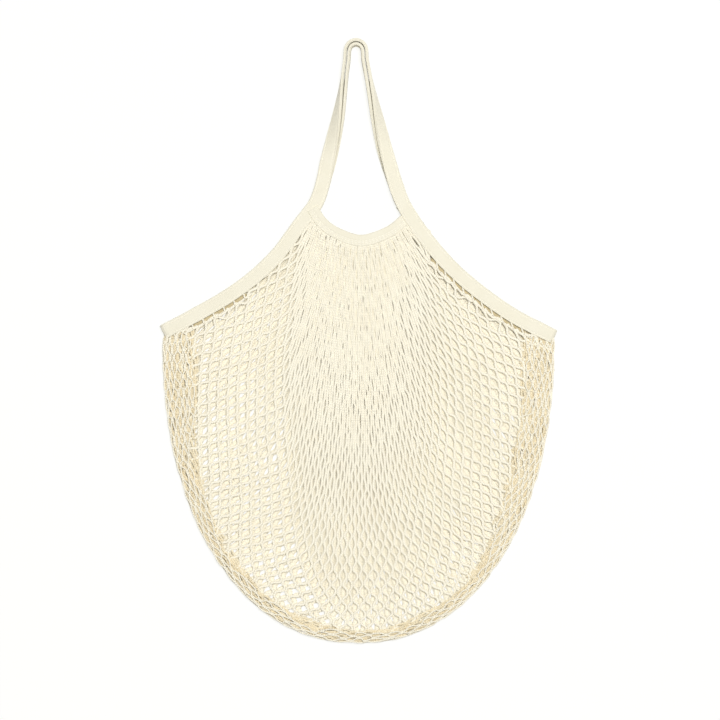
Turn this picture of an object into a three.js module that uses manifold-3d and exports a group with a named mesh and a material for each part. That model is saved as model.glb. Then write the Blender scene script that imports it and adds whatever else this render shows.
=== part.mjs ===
// An empty cotton filet net bag with long handles, laid flat on its back, front side up.
//
// A filet net is a fan of cotton strands that zigzag from the front mouth binding, down to the
// bottom of the bag and up again to the back mouth binding. Every strand is joined to its left and
// right neighbour in turn, which leaves the diamond openings. The two outermost strands are caught
// in the bindings of the shoulders. Each shoulder binding runs on past the mouth as a handle, so the
// front has one long tape from corner to corner, and the back has another just like it.
//
// Millimetres. +X is to the right, +Y towards the handles, +Z up from the surface the bag lies on.
// The origin is on that surface, under the middle of the bag's bounding box.
// The net is drawn with a third of the real strands and rows, so that its openings stay solid geometry.

import * as THREE from 'three';
import Module from 'manifold-3d';
import { mergeVertices } from 'three/addons/utils/BufferGeometryUtils.js';

const wasm = await Module();
wasm.setup();

// ---- driving dimensions ----------------------------------------------------------------------

const TAPE_WIDTH = 14.5;          // handle and shoulder binding
const TAPE_THICKNESS = 3.0;
const RIM_WIDTH = 11.5;           // the short binding across the mouth
const TAPE_EDGE_ROUNDING = 0.8;
const BACK_LEVEL = TAPE_THICKNESS / 2;          // height of the back tape's middle
const LAYER_SPACING = 8.4;                      // from the back tape's middle to the front tape's
const FRONT_LEVEL = BACK_LEVEL + LAYER_SPACING;
const FOLD_LEVEL = (BACK_LEVEL + FRONT_LEVEL) / 2;
const CLEARANCE = 0.35;           // left between pieces that touch in the real bag

const POUCH_HALF_WIDTH = 198;     // outline of the pouch below the shoulders, out to its folded edge
const POUCH_DEPTH = 304;
const POUCH_ROUNDNESS = 2.15;     // exponent of the superellipse: 2 would be a half ellipse
const FOLD_RADIUS = 2.6;          // the bunched yarns along the fold, at the corners
const FOLD_RADIUS_BOTTOM = 1.5;   // and under the middle of the bag

const STRANDS = 30;
const ROWS = 14;                  // half rows of openings from the mouth to the fold
const STRAND_STEP = 30.6;         // yarn length between two joins of a strand
const BAR_WIDTH = 2.6;
const NET_THICKNESS = 2.0;
const JOIN_REACH = 2.4;           // how far a join's corners may reach into the openings
const NET_SPREAD = FOLD_LEVEL - NET_THICKNESS / 2;   // from the fold's height to a flat layer's
const PINCH_LENGTH = 34;          // over this distance from the fold the two layers part
const CORNER_LEAD = 20;           // and by the corners they are parted this much nearer to it

const OPEN_ROWS_AT_SHOULDER = 4;  // selvage joins spread along the shoulder; the rest bunch at its end
const BUNCH_LENGTH = 35;
const FIRST_JOIN = 16;            // along the shoulder, from the mouth's end to the first join

// The two families of yarn lengths, down to the right and down to the left, and the turn of each
// length from straight down, in degrees outwards: against its number in shares of half the strands.
const FAN_RIGHT = [[0, -18], [0.08, -6], [0.42, 0], [0.54, 8], [0.71, 24], [0.96, 52], [1, 58], [1.03, 76],
  [1.08, 82], [1.21, 94], [1.25, 106], [1.28, 165], [1.44, 174]];
const FAN_LEFT = [[0, -50], [0.04, -44], [0.29, -16], [0.46, 0], [0.58, 8], [0.79, 10], [0.96, 14], [1, 26],
  [1.03, 72], [1.08, 80], [1.21, 98], [1.25, 110], [1.28, 165], [1.44, 174]];
const FAN_WEIGHT = 4;             // how strongly the fan, an even course and the fold draw the joins
const COURSE_WEIGHT = 0.3;
const FOLD_WEIGHT = 0.3;
const HELD_WEIGHT = 1000;         // a held join stays in its place
const FIT_ROUNDS = 40;
const LEAST_FOLD_SPREAD = 0.6;    // the spread of the fold's joins under the middle of the bag, and
const FOLD_SPREAD_POWER = 1.5;    // how it grows to 1 at the corners
const FITTED_SHARE = 0.4;         // how far the fold's joins follow the fit rather than that spread

// The middle line of the front tape, from the mouth's level to the corner, and of each handle leg.
const SHOULDER_LEFT = [[-41.5, 141], [-58.8, 117], [-81, 87], [-102.6, 66], [-130.5, 45.4], [-166, 25], [-191.8, 11.4]];
const SHOULDER_RIGHT = [[43.3, 141], [57.5, 117], [79, 89], [100.4, 66.8], [126, 45.8], [156, 25.2], [192, 6.6]];
const LEG_LEFT = [[-30, 186], [-20.2, 236], [-13.8, 281]];
const LEG_RIGHT = [[29, 186], [18, 236], [8.8, 281]];
const HANDLE_TOP = [-2.5, 291];   // centre of the bend at the top of the handles
const HANDLE_BEND = 10.4;         // radius of the front tape's middle line there
const HANDLE_NEST = TAPE_THICKNESS + 1.0;      // the back handle lies this far inside the front one
const FLAT_BELOW = 150;           // the handles lie flat up to here
const ON_EDGE_ABOVE = 275;        // and stand on edge from here up
const NESTED_ABOVE = 215;

const MOUTH = [[-46, 133], [-36.5, 119], [-23.5, 109.3], [2, 101], [27.5, 108.3], [39.5, 116], [49, 125]];
const MOUTH_REACH = [-42, 46];    // from here to there the net hangs from the mouth's binding
const CURVE_POINTS = 60;          // samples of a curve that is measured along
const OUTLINE_POINTS = 400;       // and of the fold's outline

const CURL_RADIUS = 3.0;          // how the tape's ends turn round the side of the bag

// ---- helpers -----------------------------------------------------------------------------------

const UP = new THREE.Vector3(0, 0, 1);
const flat = ([x, y]) => new THREE.Vector3(x, y, 0);
const smooth = (from, to, value) => THREE.MathUtils.smoothstep(value, from, to);

/** The direction to the left of a level heading. */
function leftOf(heading) {
  return new THREE.Vector3(-heading.y, heading.x, 0).normalize();
}

/** A closed geometry made a solid, for cutting and joining. */
function toSolid(geometry) {
  const merged = mergeVertices(geometry, 1e-4);
  return new wasm.Manifold(new wasm.Mesh({
    numProp: 3,
    vertProperties: new Float32Array(merged.attributes.position.array),
    triVerts: new Uint32Array(merged.index.array),
  }));
}

/** A solid's surface as a geometry. */
function toGeometry(solid) {
  const { numProp, vertProperties, triVerts } = solid.getMesh();
  const corners = [];
  for (const vertex of triVerts) {
    corners.push(...vertProperties.slice(vertex * numProp, vertex * numProp + 3));
  }
  return geometryOf(corners);
}

/** A solid without the scraps that a cut has left. */
function largestPiece(solid) {
  return solid.decompose().sort((a, b) => b.volume() - a.volume())[0];
}

/** A geometry of loose triangles from a flat list of coordinates. */
function geometryOf(corners) {
  const geometry = new THREE.BufferGeometry();
  geometry.setAttribute('position', new THREE.BufferAttribute(new Float32Array(corners), 3));
  return geometry;
}

/** The superellipse of the pouch's fold line, from the left corner (0) round the bottom to the right (1). */
function foldPoint(share) {
  const turn = Math.PI * share;
  const power = 2 / POUCH_ROUNDNESS;
  const x = -Math.sign(Math.cos(turn)) * Math.abs(Math.cos(turn)) ** power;
  const y = -(Math.sin(turn) ** power);
  return new THREE.Vector3(x * (POUCH_HALF_WIDTH - FOLD_RADIUS), y * (POUCH_DEPTH - FOLD_RADIUS), 0);
}

/** How near a point is to the fold line: 0 in the middle of the mouth's level, 1 on the fold. */
function foldNearness(point) {
  const across = Math.abs(point.x) / (POUCH_HALF_WIDTH - FOLD_RADIUS);
  const down = Math.max(-point.y, 0) / (POUCH_DEPTH - FOLD_RADIUS);
  return (across ** POUCH_ROUNDNESS + down ** POUCH_ROUNDNESS) ** (1 / POUCH_ROUNDNESS);
}

/** A smooth curve through points, with evenly spaced samples. */
function evenPoints(points, count) {
  return new THREE.CatmullRomCurve3(points, false, 'centripetal').getSpacedPoints(count - 1);
}

/** A line of points moved sideways, to the left of its direction where distance is positive. */
function offsetLine(line, distance) {
  return line.map((point, i) => {
    const heading = line[Math.min(i + 1, line.length - 1)].clone().sub(line[Math.max(i - 1, 0)]);
    return point.clone().addScaledVector(leftOf(heading), distance);
  });
}

/** The point at a distance along a line of points. */
function pointAlong(line, distance) {
  let left = distance;
  for (let i = 1; i < line.length; i++) {
    const step = line[i].distanceTo(line[i - 1]);
    if (left <= step) return line[i - 1].clone().lerp(line[i], left / step);
    left -= step;
  }
  return line[line.length - 1].clone();
}

const lineLength = (line) => line.slice(1).reduce((sum, point, i) => sum + point.distanceTo(line[i]), 0);

// ---- tapes -------------------------------------------------------------------------------------

/**
 * A tape swept through stations, each with its middle point, the direction across the tape and the
 * tape's normal. The section is a flat rectangle with its long edges rounded off.
 */
function sweepTape(stations, width, thickness) {
  const w = width / 2;
  const t = thickness / 2;
  const r = TAPE_EDGE_ROUNDING;
  const section = [[w, r - t], [w, t - r], [w - r, t], [r - w, t], [-w, t - r], [-w, r - t], [r - w, -t], [w - r, -t]];
  return sweep(stations.map(({ point, across, normal }) => section.map(([a, n]) => (
    point.clone().addScaledVector(across, a).addScaledVector(normal, n)))));
}

/** A closed tube through rings of points, each ring running round its tube the same way. */
function sweep(rings) {
  const corners = [];
  const face = (...points) => points.forEach((point) => corners.push(...point.toArray()));
  const sides = rings[0].length;
  for (let i = 1; i < rings.length; i++) {
    for (let s = 0; s < sides; s++) {
      const [a, b] = [rings[i - 1][s], rings[i - 1][(s + 1) % sides]];
      const [c, d] = [rings[i][(s + 1) % sides], rings[i][s]];
      if (s < sides / 2) {      // a twisted tape's two faces are split alike
        face(a, b, c);
        face(a, c, d);
      } else {
        face(a, b, d);
        face(b, c, d);
      }
    }
  }
  const [first, last] = [rings[0], rings[rings.length - 1]];
  for (let s = 1; s < sides - 1; s++) {
    face(first[0], first[s + 1], first[s]);
    face(last[0], last[s], last[s + 1]);
  }
  return geometryOf(corners);
}

/** The tape's route over the bag, seen from above: left corner, left leg, top, right leg, right corner. */
function tapeRoute() {
  const bend = [];
  for (let angle = 165; angle >= 15; angle -= 30) {
    const turn = THREE.MathUtils.degToRad(angle);
    bend.push([HANDLE_TOP[0] + HANDLE_BEND * Math.cos(turn), HANDLE_TOP[1] + HANDLE_BEND * Math.sin(turn)]);
  }
  const points = [
    ...[...SHOULDER_LEFT].reverse(), ...LEG_LEFT, ...bend, ...[...LEG_RIGHT].reverse(), ...SHOULDER_RIGHT,
  ];
  return new THREE.CatmullRomCurve3(points.map(flat), false, 'centripetal');
}

/**
 * Stations of the front tape (side 1) or the back tape (side -1). Up the legs the tape turns from
 * flat to on edge, its outer edge going down, and the back handle slips inside the front one.
 */
function tapeStations(side) {
  const route = tapeRoute();
  const length = route.getLength();
  const count = 80;
  const stations = [];
  for (let i = 0; i <= count; i++) {
    const share = i / count;
    const middle = route.getPointAt(share);
    const heading = route.getTangentAt(share).normalize();
    const outward = leftOf(heading);
    const tilt = (Math.PI / 2) * smooth(FLAT_BELOW, ON_EDGE_ABOVE, middle.y);
    const across = outward.clone().multiplyScalar(Math.cos(tilt)).addScaledVector(UP, -Math.sin(tilt));
    const normal = heading.clone().cross(across);
    const spacing = THREE.MathUtils.lerp(LAYER_SPACING, HANDLE_NEST, smooth(FLAT_BELOW, NESTED_ABOVE, middle.y));
    const height = (TAPE_WIDTH / 2) * Math.sin(tilt) + (TAPE_THICKNESS / 2) * Math.cos(tilt);
    const point = middle.clone().setZ(height + spacing * Math.cos(tilt));
    if (side < 0) point.addScaledVector(normal, -spacing);
    stations.push({ point, across, normal, heading });
  }
  return [...tapeEnd(stations[0], side, -1), ...stations, ...tapeEnd(stations[count], side, 1)];
}

/** The tape's end, turned round the side of the bag towards the other layer. Direction is 1 past the last station. */
function tapeEnd(station, side, direction) {
  const away = station.heading.clone().multiplyScalar(direction);
  const drop = Math.abs(station.point.z - FOLD_LEVEL) - CLEARANCE / 2;
  const stations = [];
  for (let degrees = 22.5; degrees <= 90; degrees += 22.5) {
    const turn = THREE.MathUtils.degToRad(degrees);
    const point = station.point.clone()
      .addScaledVector(away, CURL_RADIUS * Math.sin(turn))
      .addScaledVector(UP, -side * CURL_RADIUS * (1 - Math.cos(turn)));
    const heading = away.clone().multiplyScalar(Math.cos(turn)).addScaledVector(UP, -side * Math.sin(turn));
    const normal = heading.multiplyScalar(direction).cross(station.across);
    stations.push({ point, across: station.across, normal });
  }
  const tip = stations[stations.length - 1];
  stations.push({ ...tip, point: tip.point.clone().addScaledVector(UP, -side * (drop - CURL_RADIUS)) });
  return direction < 0 ? stations.reverse() : stations;
}

/** The short binding that gathers the net at the mouth, from shoulder to shoulder. */
function rimStations(level) {
  const line = evenPoints(MOUTH.map(flat), 15);
  return line.map((point, i) => {
    const heading = line[Math.min(i + 1, line.length - 1)].clone().sub(line[Math.max(i - 1, 0)]).normalize();
    return { point: point.clone().setZ(level), across: leftOf(heading), normal: UP };
  });
}

// ---- net ---------------------------------------------------------------------------------------

const COLUMNS = STRANDS / 2;      // joins in an even row; an odd row has one more, the selvage joins

const joinsInRow = (row) => (row % 2 === 0 ? COLUMNS : COLUMNS + 1);
const isSelvage = (row, column) => row % 2 === 1 && (column === 0 || column === COLUMNS);

/** Where the strands of a join go in the next row: its left and right neighbours there, if any. */
function neighbours(rows, row, column, step) {
  const next = rows[row + step];
  const shift = row % 2 === 0 ? 0 : -1;
  return next ? [next[column + shift], next[column + shift + 1]] : [undefined, undefined];
}

/** Distances along a shoulder of its selvage joins: an even spread, then a tight bunch by the corner. */
function selvageDistances(length) {
  const distances = [];
  const joins = ROWS / 2;
  const open = length - BUNCH_LENGTH;
  for (let i = 0; i < joins; i++) {
    distances.push(i < OPEN_ROWS_AT_SHOULDER
      ? THREE.MathUtils.lerp(FIRST_JOIN, open, i / (OPEN_ROWS_AT_SHOULDER - 1))
      : open + (BUNCH_LENGTH * (i - OPEN_ROWS_AT_SHOULDER + 1)) / (joins - OPEN_ROWS_AT_SHOULDER));
  }
  return distances;
}

/** The places where the mouth and the shoulders hold joins, for a row and column, or undefined. */
function heldPlaces() {
  const reach = JOIN_REACH + CLEARANCE;
  const rim = offsetLine(evenPoints(MOUTH.map(flat), CURVE_POINTS), -(RIM_WIDTH / 2 + reach))
    .filter(({ x }) => x > MOUTH_REACH[0] && x < MOUTH_REACH[1]);
  const edge = TAPE_WIDTH / 2 + reach;
  const left = offsetLine(evenPoints(SHOULDER_LEFT.map(flat), CURVE_POINTS), edge);
  const right = offsetLine(evenPoints(SHOULDER_RIGHT.map(flat), CURVE_POINTS), -edge);
  const leftAt = selvageDistances(lineLength(left));
  const rightAt = selvageDistances(lineLength(right));
  return (row, column) => {
    if (row === 0) return pointAlong(rim, (lineLength(rim) * (column + 0.5)) / COLUMNS);
    if (!isSelvage(row, column)) return undefined;
    const index = (row - 1) / 2;
    return column === 0 ? pointAlong(left, leftAt[index]) : pointAlong(right, rightAt[index]);
  };
}

/** Where the fold's joins would lie if the outline alone spaced them. */
function foldPlaces() {
  const outline = [];
  for (let i = 0; i <= OUTLINE_POINTS; i++) outline.push(foldPoint(i / OUTLINE_POINTS));
  const length = lineLength(outline);
  const closer = 1 - LEAST_FOLD_SPREAD;
  return (share) => {
    const side = 1 - 2 * share;
    const power = FOLD_SPREAD_POWER + 1;
    const reach = LEAST_FOLD_SPREAD * share + (closer / (2 * power)) * (1 - Math.sign(side) * Math.abs(side) ** power);
    return pointAlong(outline, (length * reach) / (LEAST_FOLD_SPREAD + closer / power));
  };
}

/** The value of a line of [place, value] points at a place. */
function onLine(line, place) {
  const next = Math.max(1, line.findIndex(([at]) => at >= place));
  const [[from, low], [to, high]] = [line[next - 1], line[next]];
  return low + ((high - low) * (place - from)) / (to - from);
}

/** Solves a square system for several right-hand columns, by elimination with the largest pivot. */
function solve(matrix, right) {
  const size = matrix.length;
  const system = matrix.map((row, i) => [...row, ...right[i]]);
  for (let i = 0; i < size; i++) {
    let pivot = i;
    for (let k = i + 1; k < size; k++) {
      if (Math.abs(system[k][i]) > Math.abs(system[pivot][i])) pivot = k;
    }
    [system[i], system[pivot]] = [system[pivot], system[i]];
    for (let k = 0; k < size; k++) {
      const factor = k === i ? 0 : system[k][i] / system[i][i];
      if (!factor) continue;
      for (let column = i; column < size + 2; column++) system[k][column] -= factor * system[i][column];
    }
  }
  return system.map((row, i) => row.slice(size).map((value) => value / row[i]));
}

/** The unknowns that agree best with weighted sums of them: rows of [weight, [[number, factor], ...], point]. */
function bestFit(count, rows) {
  const matrix = Array.from({ length: count }, () => new Array(count).fill(0));
  const right = Array.from({ length: count }, () => [0, 0]);
  for (const [weight, terms, point] of rows) {
    for (const [i, factor] of terms) {
      for (const [k, other] of terms) matrix[i][k] += weight * weight * factor * other;
      right[i][0] += weight * weight * factor * point.x;
      right[i][1] += weight * weight * factor * point.y;
    }
  }
  return solve(matrix, right).map(flat);
}

/**
 * The joins of one layer. A net that is drawn out is the sum of two families of yarn lengths: a join
 * lies at one point of each family added together. The families are fitted to the places that hold
 * the net, to the fan, to an even course and to the fold's outline, round after round, with each yarn
 * length brought back to its measure. What is left over is then shared out evenly between the joins.
 */
function layOutJoins() {
  const joins = [];
  const held = heldPlaces();
  for (let row = 0; row <= ROWS; row++) {
    for (let column = 0; column < joinsInRow(row); column++) {
      const strand = 2 * column + (row % 2 === 0 ? 1 : 0);
      const first = (row + strand - 1) / 2;
      const second = (row - strand + STRANDS - 1) / 2;
      joins.push({ row, column, share: strand / STRANDS, first, second, held: held(row, column) });
    }
  }
  const family = (ROWS + STRANDS) / 2;         // points in each family
  const terms = ({ first, second }) => [[first, 1], [family + second, 1]];
  const place = (join, found) => found[join.first].clone().add(found[family + join.second]);
  const lengths = [];
  for (const [start, fan, side] of [[0, FAN_RIGHT, 1], [family, FAN_LEFT, -1]]) {
    for (let i = 0; i < family - 1; i++) {
      const turn = THREE.MathUtils.degToRad(side * onLine(fan, (i + 0.5) / COLUMNS));
      const wanted = new THREE.Vector3(Math.sin(turn), -Math.cos(turn), 0).multiplyScalar(STRAND_STEP);
      const crease = i + 1 === COLUMNS || i + 1 === COLUMNS + OPEN_ROWS_AT_SHOULDER;
      lengths.push({ from: start + i, fan: wanted, wanted, crease: crease || i === family - 2 });
    }
  }
  const foldPlace = foldPlaces();
  const onFold = joins.filter(({ row }) => row === ROWS);
  onFold.forEach((join) => { join.wanted = foldPlace(join.share); });
  let found;
  for (let round = 0; round < FIT_ROUNDS; round++) {
    const rows = [[1, [[0, 1]], new THREE.Vector3()]];
    joins.filter((join) => join.held).forEach((join) => rows.push([1, terms(join), join.held]));
    onFold.forEach((join) => rows.push([FOLD_WEIGHT, terms(join), join.wanted]));
    for (const { from, fan, wanted, crease } of lengths) {
      rows.push([1, [[from, -1], [from + 1, 1]], wanted], [FAN_WEIGHT, [[from, -1], [from + 1, 1]], fan]);
      if (!crease) rows.push([COURSE_WEIGHT, [[from, 1], [from + 1, -2], [from + 2, 1]], new THREE.Vector3()]);
    }
    found = bestFit(2 * family, rows);
    for (const length of lengths) {
      length.wanted = found[length.from + 1].clone().sub(found[length.from]).setLength(STRAND_STEP);
    }
    onFold.forEach((join) => { join.wanted = place(join, found); });
    onFold.forEach((join) => join.wanted.divideScalar(foldNearness(join.wanted)));
  }
  joins.forEach((join) => { join.point = place(join, found); });
  onFold.forEach((join) => {
    const spaced = foldPlace(join.share).lerp(join.wanted, FITTED_SHARE);
    join.held = spaced.divideScalar(foldNearness(spaced));
  });
  return shareOut(joins);
}

/** Puts held joins in place and each other one where its four yarn lengths agree best, as rows of joins. */
function shareOut(joins) {
  const rows = [];
  joins.forEach((join, number) => {
    join.number = number;
    (rows[join.row] ??= [])[join.column] = join;
  });
  const sums = [];
  for (const join of joins) {
    if (join.held) sums.push([HELD_WEIGHT, [[join.number, 1]], join.held]);
    for (const other of neighbours(rows, join.row, join.column, 1).filter(Boolean)) {
      sums.push([1, [[join.number, -1], [other.number, 1]], other.point.clone().sub(join.point)]);
    }
  }
  const places = bestFit(joins.length, sums);
  joins.forEach((join) => { join.point = places[join.number]; });
  return rows;
}

/** A join's four corners, each in the angle between two of its strands. */
function joinCorners(rows, row, column) {
  const { point } = rows[row][column];
  let [upLeft, upRight] = neighbours(rows, row, column, -1).map((join) => join?.point);
  let [downLeft, downRight] = neighbours(rows, row, column, 1).map((join) => join?.point);
  const mirrored = (other) => point.clone().multiplyScalar(2).sub(other);
  upLeft ??= mirrored(downRight ?? upRight.clone());
  upRight ??= mirrored(downLeft ?? upLeft.clone());
  downLeft ??= mirrored(upRight);
  downRight ??= mirrored(upLeft);
  const corner = (first, second) => {
    const a = first.clone().sub(point).setZ(0).normalize();
    const b = second.clone().sub(point).setZ(0).normalize();
    const middle = a.clone().add(b);
    const halfAngle = a.angleTo(b) / 2;
    const reach = Math.min(BAR_WIDTH / 2 / Math.max(Math.sin(halfAngle), 0.05), JOIN_REACH);
    if (middle.length() < 1e-3) middle.copy(leftOf(a));
    return point.clone().addScaledVector(middle.normalize(), reach);
  };
  return [corner(upLeft, downLeft), corner(downLeft, downRight), corner(downRight, upRight), corner(upRight, upLeft)];
}

/**
 * One layer of the net, front or back, as a plate of constant thickness: a four-cornered patch for
 * each join and one for each length of strand, with walls along the openings.
 */
function netLayer(rows, side) {
  const height = (point) => {
    const fromFold = (1 - Math.min(foldNearness(point), 1)) * POUCH_HALF_WIDTH;
    const parted = point.y > 0 ? 1 : smooth(0, PINCH_LENGTH, fromFold);
    const fromSide = POUCH_HALF_WIDTH - Math.abs(point.x) + CORNER_LEAD;
    const nearCorner = smooth(-PINCH_LENGTH, 0, point.y) * smooth(0, PINCH_LENGTH, fromSide);
    return FOLD_LEVEL + side * NET_SPREAD * Math.max(parted, nearCorner);
  };
  const vertices = [];
  const patches = [];
  const first = [];
  for (let row = 0; row <= ROWS; row++) {
    first.push([]);
    rows[row].forEach((join, column) => {
      const start = vertices.length;
      first[row].push(start);
      joinCorners(rows, row, column).forEach((corner) => vertices.push(corner.setZ(height(corner))));
      patches.push([start, start + 1, start + 2, start + 3]);   // left, bottom, right, top
    });
  }
  for (let row = 0; row < ROWS; row++) {
    const shift = row % 2 === 0 ? 0 : -1;
    first[row].forEach((upper, column) => {
      const lowerLeft = first[row + 1][column + shift];
      const lowerRight = first[row + 1][column + shift + 1];
      if (lowerRight !== undefined) patches.push([upper + 1, lowerRight, lowerRight + 3, upper + 2]);
      if (lowerLeft !== undefined) patches.push([upper, lowerLeft + 3, lowerLeft + 2, upper + 1]);
    });
  }
  return thickPlate(vertices, patches, NET_THICKNESS);
}

/** A sheet of four-cornered patches given a thickness, with a wall on each edge that only one patch has. */
function thickPlate(vertices, patches, thickness) {
  const corners = [];
  const lift = thickness / 2;
  const face = (...points) => points.forEach(([index, level]) => {
    const { x, y, z } = vertices[index];
    corners.push(x, y, z + level);
  });
  const edges = new Map();
  for (const patch of patches) {
    patch.forEach((from, i) => edges.set(`${from}>${patch[(i + 1) % 4]}`, [from, patch[(i + 1) % 4]]));
  }
  for (const [a, b, c, d] of patches) {
    face([a, lift], [b, lift], [c, lift]);
    face([a, lift], [c, lift], [d, lift]);
    face([a, -lift], [c, -lift], [b, -lift]);
    face([a, -lift], [d, -lift], [c, -lift]);
  }
  for (const [from, to] of edges.values()) {
    if (edges.has(`${to}>${from}`)) continue;
    face([from, lift], [from, -lift], [to, -lift]);
    face([from, lift], [to, -lift], [to, lift]);
  }
  return geometryOf(corners);
}

/** The bunched yarns along the fold, from corner to corner round the bottom. */
function foldGeometry() {
  const points = [];
  const start = 0.012;
  const count = 30;
  for (let i = 0; i <= count; i++) points.push(foldPoint(start + ((1 - 2 * start) * i) / count).setZ(FOLD_LEVEL));
  return sweep(points.map((point, i) => {
    const across = leftOf(points[Math.min(i + 1, count)].clone().sub(points[Math.max(i - 1, 0)]));
    const radius = THREE.MathUtils.lerp(FOLD_RADIUS, FOLD_RADIUS_BOTTOM, Math.sin((Math.PI * i) / count));
    return [300, 0, 60, 120, 180, 240].map((degrees) => {
      const turn = THREE.MathUtils.degToRad(degrees);
      return point.clone()
        .addScaledVector(across, radius * Math.cos(turn))
        .addScaledVector(UP, radius * Math.sin(turn));
    });
  }));
}

/** The whole net: front layer, fold and back layer in one piece, cut back clear of the tapes. */
function netGeometry(tapeSolids) {
  const rows = layOutJoins();
  const front = toSolid(netLayer(rows, 1));
  const back = toSolid(netLayer(rows, -1));
  const whole = front.add(back).add(toSolid(foldGeometry()));
  return toGeometry(largestPiece(tapeSolids.reduce((rest, tape) => rest.subtract(tape), whole)));
}

// ---- the bag -----------------------------------------------------------------------------------

const cotton = new THREE.MeshStandardMaterial({ color: '#f1e8cf', roughness: 0.9, metalness: 0 });
const tapeCotton = new THREE.MeshStandardMaterial({ color: '#f4ecd6', roughness: 0.85, metalness: 0 });

const bag = new THREE.Group();

function addPiece(name, geometry, material) {
  const mesh = new THREE.Mesh(geometry, material);
  mesh.name = name;
  bag.add(mesh);
}

const tapeRooms = [];
for (const [name, side, level] of [['front', 1, FRONT_LEVEL], ['back', -1, BACK_LEVEL]]) {
  const strap = tapeStations(side);
  const rim = rimStations(level);
  const room = (stations, width) => (
    toSolid(sweepTape(stations, width + 2 * CLEARANCE, TAPE_THICKNESS + 2 * CLEARANCE)));
  const strapRoom = room(strap, TAPE_WIDTH);
  const rimSolid = largestPiece(toSolid(sweepTape(rim, RIM_WIDTH, TAPE_THICKNESS)).subtract(strapRoom));
  addPiece(`${name}_strap`, sweepTape(strap, TAPE_WIDTH, TAPE_THICKNESS), tapeCotton);
  addPiece(`${name}_mouth_rim`, toGeometry(rimSolid), tapeCotton);
  tapeRooms.push(strapRoom, room(rim, RIM_WIDTH));
}
addPiece('net', netGeometry(tapeRooms), cotton);

export default bag;
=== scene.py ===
"""An empty cotton filet net bag with long handles, laid flat on its back on a pale table.

About ninety-six chain-knitted cotton strands fan out from the front mouth binding, run down to the fold
at the bottom of the bag and up again to the back mouth binding. Each strand is knitted to its left
and right neighbour in turn, which leaves the openings. The outermost strands are caught in folded
tapes that border the shoulders and run on as the two long handles.

Sizes are in millimetres and become metres only where a mesh is made. X is to the right, Y towards
the handles and Z up, as in the frame, with the origin on the table under the bag's middle.
"""

from __future__ import annotations

import logging
import math
from dataclasses import dataclass, field
from enum import Enum

import bpy
import numpy as np
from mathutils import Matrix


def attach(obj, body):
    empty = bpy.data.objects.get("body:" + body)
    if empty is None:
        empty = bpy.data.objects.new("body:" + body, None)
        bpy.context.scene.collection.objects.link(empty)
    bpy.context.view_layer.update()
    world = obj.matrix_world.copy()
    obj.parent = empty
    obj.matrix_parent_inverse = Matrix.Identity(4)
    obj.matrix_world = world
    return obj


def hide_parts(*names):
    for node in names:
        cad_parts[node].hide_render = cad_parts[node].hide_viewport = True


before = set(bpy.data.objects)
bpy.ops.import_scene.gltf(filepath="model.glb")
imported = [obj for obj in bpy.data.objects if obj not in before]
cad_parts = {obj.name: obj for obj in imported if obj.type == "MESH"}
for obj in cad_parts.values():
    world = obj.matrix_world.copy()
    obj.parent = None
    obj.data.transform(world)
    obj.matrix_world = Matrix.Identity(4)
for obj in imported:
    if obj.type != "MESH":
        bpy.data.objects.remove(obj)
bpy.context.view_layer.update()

MILLIMETRE = 0.001
TABLE_GAP = 0.05  # millimetres between the table and what lies on it
log = logging.getLogger("net_bag")


# ---- curves --------------------------------------------------------------------------------------


def smoothstep(low: float, high: float, value: np.ndarray) -> np.ndarray:
    """Rises smoothly from 0 at low to 1 at high: 3 t squared minus 2 t cubed."""
    t = np.clip((value - low) / (high - low), 0.0, 1.0)
    return t * t * (3.0 - 2.0 * t)


def unit(vectors: np.ndarray) -> np.ndarray:
    """Vectors along the last axis brought to length one."""
    return vectors / np.maximum(np.linalg.norm(vectors, axis=-1, keepdims=True), 1e-9)


def left_of(headings: np.ndarray) -> np.ndarray:
    """Level unit vectors a quarter turn to the left of the headings, in the headings' own dimensions."""
    turned = np.zeros_like(headings)
    turned[..., 0] = -headings[..., 1]
    turned[..., 1] = headings[..., 0]
    return unit(turned)


def curve_through(points: np.ndarray, samples: int) -> np.ndarray:
    """A centripetal Catmull-Rom curve.

    Each span is the cubic whose slopes at its two ends come from the neighbouring points, weighted
    by the square roots of their distances.

    Args:
        points: The points that the curve passes, one a row.
        samples: Samples in each span.

    Returns:
        The points of the curve, one a row.
    """
    points = np.asarray(points, float)
    p = np.concatenate([2.0 * points[:1] - points[1:2], points, 2.0 * points[-1:] - points[-2:-1]])
    gap = np.sqrt(np.linalg.norm(np.diff(p, axis=0), axis=1))[:, None]
    before, here, after = gap[:-2], gap[1:-1], gap[2:]
    a, b, c, d = p[:-3], p[1:-2], p[2:-1], p[3:]
    slope_b = ((b - a) / before - (c - a) / (before + here) + (c - b) / here) * here
    slope_c = ((c - b) / here - (d - b) / (here + after) + (d - c) / after) * here
    square, cube = 3.0 * (c - b) - 2.0 * slope_b - slope_c, 2.0 * (b - c) + slope_b + slope_c
    t = np.linspace(0.0, 1.0, samples, endpoint=False)[None, :, None]
    b, slope_b, square, cube = (term[:, None, :] for term in (b, slope_b, square, cube))
    spans = b + slope_b * t + square * t**2 + cube * t**3
    return np.concatenate([spans.reshape(-1, p.shape[1]), points[-1:]])


def lengths_along(curve: np.ndarray) -> np.ndarray:
    """The distance along a curve of each of its points."""
    steps = np.linalg.norm(np.diff(curve, axis=0), axis=1)
    return np.concatenate([[0.0], np.cumsum(steps)])


def points_along(curve: np.ndarray, distances: np.ndarray) -> np.ndarray:
    """The points at distances along a curve, by straight interpolation between its points."""
    lengths = lengths_along(curve)
    return np.stack([np.interp(distances, lengths, axis) for axis in curve.T], axis=1)


def offset_curve(curve: np.ndarray, distance: float) -> np.ndarray:
    """A curve moved sideways, to its left where distance is positive."""
    return curve + distance * left_of(np.gradient(curve, axis=0))


# ---- meshes and materials ------------------------------------------------------------------------


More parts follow.
